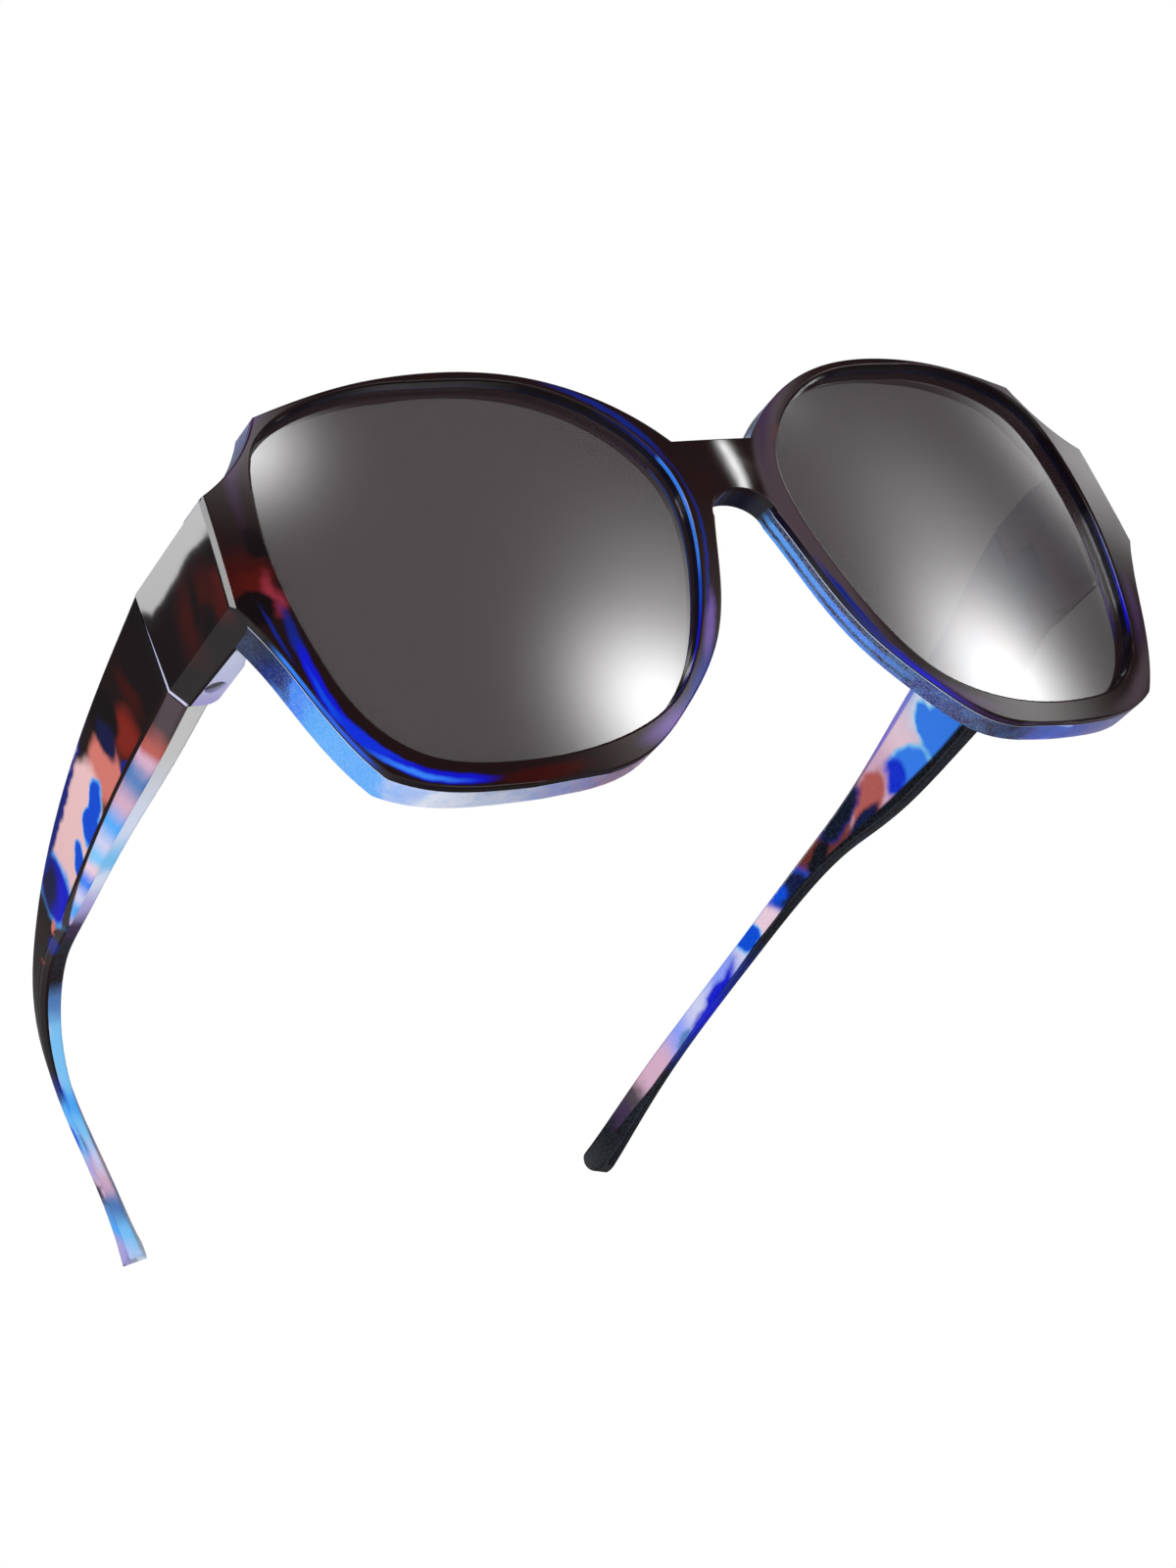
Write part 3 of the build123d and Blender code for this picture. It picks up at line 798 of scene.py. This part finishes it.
def clear_front_plastic(settings):
    """Crystal plastic with a fine glitter, blue down the rims and lavender below them."""
    material, tree = new_material("clear_front_plastic")
    place = tree.place()
    x, y, _ = tree.axes(place)
    turn, away, depth = rim_places(tree, place)
    wobble = tree.noise(place, WOBBLE_SIZE) * WOBBLE_REACH - WOBBLE_REACH / 2 + turn
    right = tree.along(wobble, FULL_TURN, RIGHT_FLANGE_STOPS)
    left = tree.along(wobble, FULL_TURN, LEFT_FLANGE_STOPS)
    is_left = tree.step(x, *LEFT_START)
    colour = tree.over(is_left, right, left)
    front_streak, rear_streak = [tree.band(depth, *span, STREAK_EDGE) for span in NASAL_STREAKS]
    nasal = tree.band(turn, *NASAL_TURN, NASAL_EDGE) * is_left
    colour = tree.over(nasal * (1 - front_streak.or_more(rear_streak)), colour, opaque(NAVY))
    pale_line = tree.band(depth, *PALE_LINE_SPAN, PALE_LINE_EDGE) * tree.step(away, *PALE_LINE_START)
    colour = tree.over(pale_line * PALE_LINE_SHARE, colour, opaque(ICE))
    lit = 1 - tree.band(turn, *DIM_TURN, DIM_EDGE) * DIM_SHARE
    drift = tree.step(tree.noise(place, DRIFT_SIZE, FINE_DETAIL), *DRIFT_RANGE)
    colour = tree.over(lit * drift * DRIFT_SHARE, colour, opaque(settings.clear))
    colour = tree.over(lit * tree.grain(place, GLITTER_SIZE) * GLITTER_SHARE, colour, opaque(ICE))
    steel_speck = tree.grain(tree.bent(place, *STEEL_SPECK_BEND), STEEL_SPECK_SIZE)
    colour = tree.over(steel_speck * STEEL_SPECK_SHARE, colour, opaque(STEEL_BLUE))
    bridge = tree.step(abs(x), *BRIDGE_HALF)
    shelf = tree.step(away, *SHELF_REACH)
    colour = tree.over(bridge.or_more(shelf), colour, opaque(NAVY_BLACK))
    crystal = tree.along(y, REAR_SPAN, REAR_STOPS)
    colour = tree.over(tree.step(depth, *REAR_DEPTH), colour, crystal)
    finish_plastic(tree, place, colour, settings.ripple)
    return material


TEMPLE_SPAN = (-48, 76)
TEMPLE_BEND = (3.2, 2.2)
BEVEL_SPAN = (-48, 12)
BEVEL_END = (8.0, 3.0)
BEVEL_TOP = (-0.35, -0.55)
# The painted dark reflection line above the temple's lower bevel: its span and soft edge across it, its
# height at y 0 and how fast it falls along y.
LINE_SPAN = (-0.45, 0.35)
LINE_EDGE = 0.12
LINE_HEIGHT = 25.2
LINE_FALL = 0.138


def above_line(y, z):
    """How far a place is above the painted dark reflection line over the temple's lower bevel."""
    return z + y * LINE_FALL - LINE_HEIGHT


def dark_temple_plastic(settings, side):
    """Dark plastic with red, salmon, pink and blue patches, and a painted dark reflection line above its
    lower bevel.
    """
    material, tree = new_material(f"dark_temple_plastic_{side}")
    place = tree.place()
    _, y, z = tree.axes(place)
    _, bent_y, bent_z = tree.axes(tree.bent(place, *TEMPLE_BEND))
    plane = tree.plane(bent_y, bent_z)
    if side == "right":
        blade = tree.along(bent_y, TEMPLE_SPAN, BLUE_BLADE_STOPS)
        blade = tree.painted(blade, plane, BLADE_PATCHES)
        bevel = tree.along(bent_y, BEVEL_SPAN, BEVEL_STOPS)
    else:
        blade = tree.along(bent_y, TEMPLE_SPAN, DARK_BLADE_STOPS)
        bevel = opaque(BLACK)
    colour = tree.painted(blade, plane, TEMPLE_PATCHES)
    above = above_line(y, z)
    near = tree.step(y, *BEVEL_END)
    colour = tree.over(tree.step(above, *BEVEL_TOP) * near, colour, bevel)
    # Painted reflection: a dark line along the lower edge of the outer face, drawn in the layer's dark
    # colour.
    line = tree.band(above, *LINE_SPAN, LINE_EDGE) * near
    colour = tree.over(line, colour, opaque(settings.dark))
    finish_plastic(tree, place, colour)
    return material


PALE_LINE_TOP = (0.6, -0.4)
RIGHT_LOWER_RANGE = (0.14, 0.08)
LEFT_LOWER_SPAN = (-20, 58)
LEFT_UPPER_SPAN = (-20, 62)
LEFT_UPPER_RANGE = (0.90, 0.94)
LEFT_UPPER_SHARE = 0.7
FRINGE_RUN = (-16.0, 4.0)
FRINGE_SHARES = (0.11, 0.08)
FRINGE_EDGE = 0.03
CRYSTAL_GRAIN_SIZE = 0.5
CRYSTAL_GRAIN_SHARE = 0.02


def blade_share(tree, y, z):
    """How far up the temple's blade a place is, from 0 at its lower edge to 1 at its upper one."""
    low = tree.curve(y, TEMPLE_SPAN, BLADE_BOTTOM)
    high = tree.curve(y, TEMPLE_SPAN, BLADE_TOP)
    return (z - low) / (high - low)


def clear_temple_plastic(settings, side):
    """Pale crystal plastic with blue, navy, salmon and rust patches, and a dark tip on one side."""
    material, tree = new_material(f"clear_temple_plastic_{side}")
    place = tree.place()
    _, y, z = tree.axes(place)
    _, bent_y, bent_z = tree.axes(tree.bent(place, *TEMPLE_BEND))
    tip = DARK_TIP_STOPS if side == "left" else BLUE_TIP_STOPS
    colour = tree.along(bent_y, TEMPLE_SPAN, INSIDE_STOPS + tip)
    colour = tree.painted(colour, tree.plane(bent_y, bent_z), INSIDE_PATCHES)
    share = blade_share(tree, y, z)
    if side == "right":
        near_line = tree.step(above_line(y, z), *PALE_LINE_TOP) * tree.step(y, *BEVEL_END)
        pale = near_line.or_more(tree.step(share, *RIGHT_LOWER_RANGE))
        colour = tree.over(pale, colour, tree.along(bent_y, TEMPLE_SPAN, RIGHT_LOWER_STOPS))
    else:
        upper = tree.along(bent_y, LEFT_UPPER_SPAN, LEFT_UPPER_STOPS)
        colour = tree.over(tree.step(share, *LEFT_UPPER_RANGE) * LEFT_UPPER_SHARE, colour, upper)
        lower = tree.along(bent_y, LEFT_LOWER_SPAN, LEFT_LOWER_STOPS)
        start, growth = FRINGE_SHARES
        fringe = tree.step(y, *FRINGE_RUN) * growth + start
        colour = tree.over(tree.step(share - fringe, FRINGE_EDGE, -FRINGE_EDGE), colour, lower)
    grain = tree.grain(place, CRYSTAL_GRAIN_SIZE) * CRYSTAL_GRAIN_SHARE
    colour = tree.over(grain, colour, opaque(settings.clear))
    finish_plastic(tree, place, colour)
    return material


LENS_ROUGHNESS = 0.04
LENS_IOR = 1.8


def tinted_lens(settings):
    """Grey lens with a mirror-like coating that lets a little light through."""
    material, tree = new_material("tinted_lens")
    inputs = {
        "Base Color": opaque(settings.tint),
        "Roughness": LENS_ROUGHNESS,
        "IOR": LENS_IOR,
        "Specular IOR Level": 1.0,
        "Alpha": 1 - settings.clearness,
    }
    finish_surface(tree, tree.add("ShaderNodeBsdfPrincipled", inputs=inputs))
    return material


SCRATCH_SIZE = 0.15
SCRATCH_RANGE = (0.2, 0.9)
STEEL_ROUGHNESS = (0.12, 0.2)


def polished_steel(settings):
    """Bright screw metal with fine turning marks."""
    material, tree = new_material("polished_steel")
    scratches = tree.step(tree.noise(tree.place(), SCRATCH_SIZE), *SCRATCH_RANGE)
    smoothest, spread = STEEL_ROUGHNESS
    inputs = {
        "Base Color": opaque(settings.metal),
        "Metallic": 1.0,
        "Roughness": scratches * spread + smoothest,
    }
    finish_surface(tree, tree.add("ShaderNodeBsdfPrincipled", inputs=inputs))
    return material


def give(material, *nodes):
    """Puts one material on CAD nodes."""
    for node in nodes:
        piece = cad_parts[node]
        piece.data.materials.clear()
        piece.data.materials.append(material)


def both(stem):
    """The names of a left and a right node."""
    return [f"{stem}_{side}" for side in LEFT_AND_RIGHT]


class FinishFront(bpy.types.Operator):
    """Give the front's two layers their plastics"""

    bl_idname = "glasses.finish_front"
    bl_label = "Front"

    def execute(self, context):
        settings = context.scene.front_finish
        give(dark_front_plastic(settings), "front_outer_frame")
        give(clear_front_plastic(settings), "front_inner_frame")
        return {"FINISHED"}


class FinishLenses(bpy.types.Operator):
    """Give the lenses their tint"""

    bl_idname = "glasses.finish_lenses"
    bl_label = "Lenses"

    def execute(self, context):
        give(tinted_lens(context.scene.lens_finish), *both("lens"))
        return {"FINISHED"}


class FinishTemples(bpy.types.Operator):
    """Give the temples' two layers their plastics"""

    bl_idname = "glasses.finish_temples"
    bl_label = "Temples"

    def execute(self, context):
        settings = context.scene.temple_finish
        for side in LEFT_AND_RIGHT:
            give(dark_temple_plastic(settings, side), f"temple_outer_{side}")
            give(clear_temple_plastic(settings, side), f"temple_inner_{side}")
        return {"FINISHED"}


class FinishScrews(bpy.types.Operator):
    """Give the hinge screws their metal"""

    bl_idname = "glasses.finish_screws"
    bl_label = "Hinge screws"

    def execute(self, context):
        give(polished_steel(context.scene.screw_finish), *both("hinge_screw"))
        return {"FINISHED"}


CAMERA_PLACE = Vector((-278.16, -381.08, -160.98)) * MILLIMETRE
CAMERA_AIM = Vector((-14.56, -40.0, 14.58)) * MILLIMETRE
CAMERA_ROLL = -22.872
SENSOR_WIDTH = 36.0
NEAREST_SEEN = 0.01


def make_camera(studio):
    """A camera below and to the right of the glasses' front, as in the photograph."""
    data = bpy.data.cameras.new("camera")
    data.lens = studio.focal_length
    data.sensor_width = SENSOR_WIDTH
    data.clip_start = NEAREST_SEEN
    camera = bpy.data.objects.new("camera", data)
    turn = (CAMERA_AIM - CAMERA_PLACE).to_track_quat("-Z", "Y").to_matrix().to_4x4()
    roll = Matrix.Rotation(math.radians(CAMERA_ROLL), 4, "Z")
    camera.matrix_world = Matrix.Translation(CAMERA_PLACE) @ turn @ roll
    bpy.context.scene.collection.objects.link(camera)
    bpy.context.scene.camera = camera


SURROUND = 0.64
WHITE = (1, 1, 1, 1)
ROOM_DARK = 0.05
ROOM_BACK = 0.10
ROOM_BACK_START = (-0.1, 0.6)

# The direction of each soft lamp, as azimuth and elevation in degrees, its sharpness and its strength.
GLOWS = [
    ((29.1, 13.4), 300, 7.6),
    ((33.6, 18.8), 190, 1.1),
    ((9.5, 36.0), 420, 11.0),
    ((55.0, 13.0), 300, 8.0),
    ((57.0, 20.0), 170, 0.9),
    ((50.0, 33.5), 700, 3.0),
    ((77.0, 24.0), 260, 6.0),
    ((43.4, 26.1), 40000, 44.0),
    ((43.4, 26.8), 40000, 44.0),
    ((43.4, 27.5), 40000, 44.0),
    ((-68.0, 33.0), 60, 27.0),
    ((106.0, 29.0), 110, 10.0),
    ((12.0, -24.0), 60, 6.0),
]

# Two directions along the panel's slanted edge, its middle and its soft lower edge, in degrees.
PANEL_EDGE = ((-142.8, 31.8), (-141.2, 27.0))
PANEL_MIDDLE = (-134.0, 30.0)
PANEL_LOW = (22.0, 25.0)
PANEL_SOFTNESS = 0.0015
PANEL_REACH = (0.972, 0.984)
PANEL_STRENGTH = 12.0

# The pale floor starts below the horizon, and is brighter to the right and to the front.
HORIZON = (0.0, -0.08)
TO_THE_RIGHT = (0.2, -0.5)
TO_THE_FRONT = (0.0, -0.5)
FLOOR_GLOW = (1.1, 0.4)


def make_world():
    """A white surround with a darker room and soft lamps for reflections."""
    world = bpy.data.worlds.new("studio")
    bpy.context.scene.world = world
    world.use_nodes = True
    tree = Tree(world.node_tree)
    direction = tree.add("ShaderNodeTexCoord", output="Generated")
    light_path = tree.add("ShaderNodeLightPath")
    outputs = light_path.socket.node.outputs
    seen = Field(tree, outputs["Is Camera Ray"])
    passed = Field(tree, outputs["Is Transmission Ray"])
    mirrored = Field(tree, outputs["Is Glossy Ray"])
    glow = room_light(tree, direction)
    plain = seen.or_more(passed)
    strength = plain + (1 - plain) * (mirrored * glow + (1 - mirrored) * SURROUND)
    background = tree.add("ShaderNodeBackground", inputs={"Color": WHITE, "Strength": strength})
    tree.add("ShaderNodeOutputWorld", inputs={"Surface": background})


def towards(azimuth, elevation):
    """The direction at an azimuth, from the front towards the left temple, and an elevation."""
    turn, lift = math.radians(azimuth), math.radians(elevation)
    return (math.sin(turn) * math.cos(lift), -math.cos(turn) * math.cos(lift), math.sin(lift))


def room_light(tree, direction):
    """How bright the room looks in a reflection: dark, with soft round lamps, one panel and a pale floor."""

    def facing(target):
        inputs = {0: direction, 1: tuple(target)}
        return tree.add("ShaderNodeVectorMath", {"operation": "DOT_PRODUCT"}, inputs, "Value")

    x, y, z = tree.axes(direction)
    total = tree.step(y, *ROOM_BACK_START) * ROOM_BACK + ROOM_DARK
    for middle, sharpness, strength in GLOWS:
        total = facing(towards(*middle)).or_more(0.0) ** sharpness * strength + total
    edge_start, edge_end = [Vector(towards(*corner)) for corner in PANEL_EDGE]
    past_edge = facing(edge_start.cross(edge_end).normalized())
    panel = tree.step(past_edge, -PANEL_SOFTNESS, PANEL_SOFTNESS)
    panel = panel * tree.step(facing(towards(*PANEL_MIDDLE)), *PANEL_REACH)
    panel = panel * tree.step(z, *[math.sin(math.radians(lift)) for lift in PANEL_LOW])
    total = panel * PANEL_STRENGTH + total
    right_glow, front_glow = FLOOR_GLOW
    floor = tree.step(x, *TO_THE_RIGHT) * right_glow + tree.step(y, *TO_THE_FRONT) * front_glow
    return tree.step(z, *HORIZON) * floor + total


LAMP_AIM = (0, -0.03, 0.03)

# The place, the width and the power in watts of each lamp.
LAMPS = {
    "key_lamp": ((-0.5, -0.7, 0.6), 0.7, 3.6),
    "fill_lamp": ((-0.5, -0.5, -0.5), 0.8, 3.0),
}


def make_lamp(name, place, size, power):
    """A soft square lamp that no mirror shows."""
    data = bpy.data.lights.new(name, "AREA")
    data.size = size
    data.energy = power
    lamp = bpy.data.objects.new(name, data)
    lamp.location = place
    lamp.rotation_mode = "QUATERNION"
    lamp.rotation_quaternion = (Vector(LAMP_AIM) - Vector(place)).to_track_quat("-Z", "Y")
    lamp.visible_glossy = False
    bpy.context.scene.collection.objects.link(lamp)


FLOOR_WHITE = (0.9, 0.9, 0.9, 1)
FLOOR_FADE = (0.35, 1.35)


def make_floor(studio):
    """A white floor that is seen from above only, fades away outwards and lets lamps through."""
    half = studio.floor_width / 2
    mesh = bpy.data.meshes.new("floor")
    corners = [(-half, -half, 0), (half, -half, 0), (half, half, 0), (-half, half, 0)]
    mesh.from_pydata(corners, [], [(0, 1, 2, 3)])
    floor = bpy.data.objects.new("floor", mesh)
    bpy.context.scene.collection.objects.link(floor)
    floor.visible_shadow = False
    floor.visible_glossy = False
    material, tree = new_material("floor")
    white = tree.add("ShaderNodeBsdfDiffuse", inputs={"Color": FLOOR_WHITE})
    clear = tree.add("ShaderNodeBsdfTransparent")
    across, along, _ = tree.axes(tree.place())
    reach = (across * across + along * along) ** 0.5 * MILLIMETRE
    below = tree.add("ShaderNodeNewGeometry", output="Backfacing")
    gone = below.or_more(tree.step(reach, *FLOOR_FADE))
    finish_surface(tree, tree.add("ShaderNodeMixShader", inputs={0: gone, 1: white, 2: clear}))
    mesh.materials.append(material)


class SetStudio(bpy.types.Operator):
    """Make the camera, the light and the floor"""

    bl_idname = "glasses.set_studio"
    bl_label = "Studio"

    def execute(self, context):
        studio = context.scene.studio
        make_camera(studio)
        make_world()
        for name, (place, size, power) in LAMPS.items():
            make_lamp(name, place, size, power)
        make_floor(studio)
        context.scene.view_settings.view_transform = "Standard"
        return {"FINISHED"}


STEPS = (FinishFront, FinishLenses, FinishTemples, FinishScrews, SetStudio)


class GlassesPanel(bpy.types.Panel):
    """The steps that finish the glasses"""

    bl_idname = "VIEW3D_PT_glasses"
    bl_label = "Fitover sunglasses"
    bl_space_type = "VIEW_3D"
    bl_region_type = "UI"
    bl_category = "Glasses"

    def draw(self, context):
        for step in STEPS:
            self.layout.operator(step.bl_idname)


SETTINGS = {
    "front_finish": FrontFinish,
    "lens_finish": LensFinish,
    "temple_finish": TempleFinish,
    "screw_finish": ScrewFinish,
    "studio": Studio,
}


def register():
    for group in SETTINGS.values():
        bpy.utils.register_class(group)
    for name, group in SETTINGS.items():
        setattr(bpy.types.Scene, name, PointerProperty(type=group))
    for step in (*STEPS, GlassesPanel):
        bpy.utils.register_class(step)


def unregister():
    for step in (GlassesPanel, *reversed(STEPS)):
        bpy.utils.unregister_class(step)
    for name, group in SETTINGS.items():
        delattr(bpy.types.Scene, name)
        bpy.utils.unregister_class(group)


def main():
    register()
    for step in STEPS:
        group, name = step.bl_idname.split(".")
        getattr(getattr(bpy.ops, group), name)()


if __name__ == "__main__":
    main()
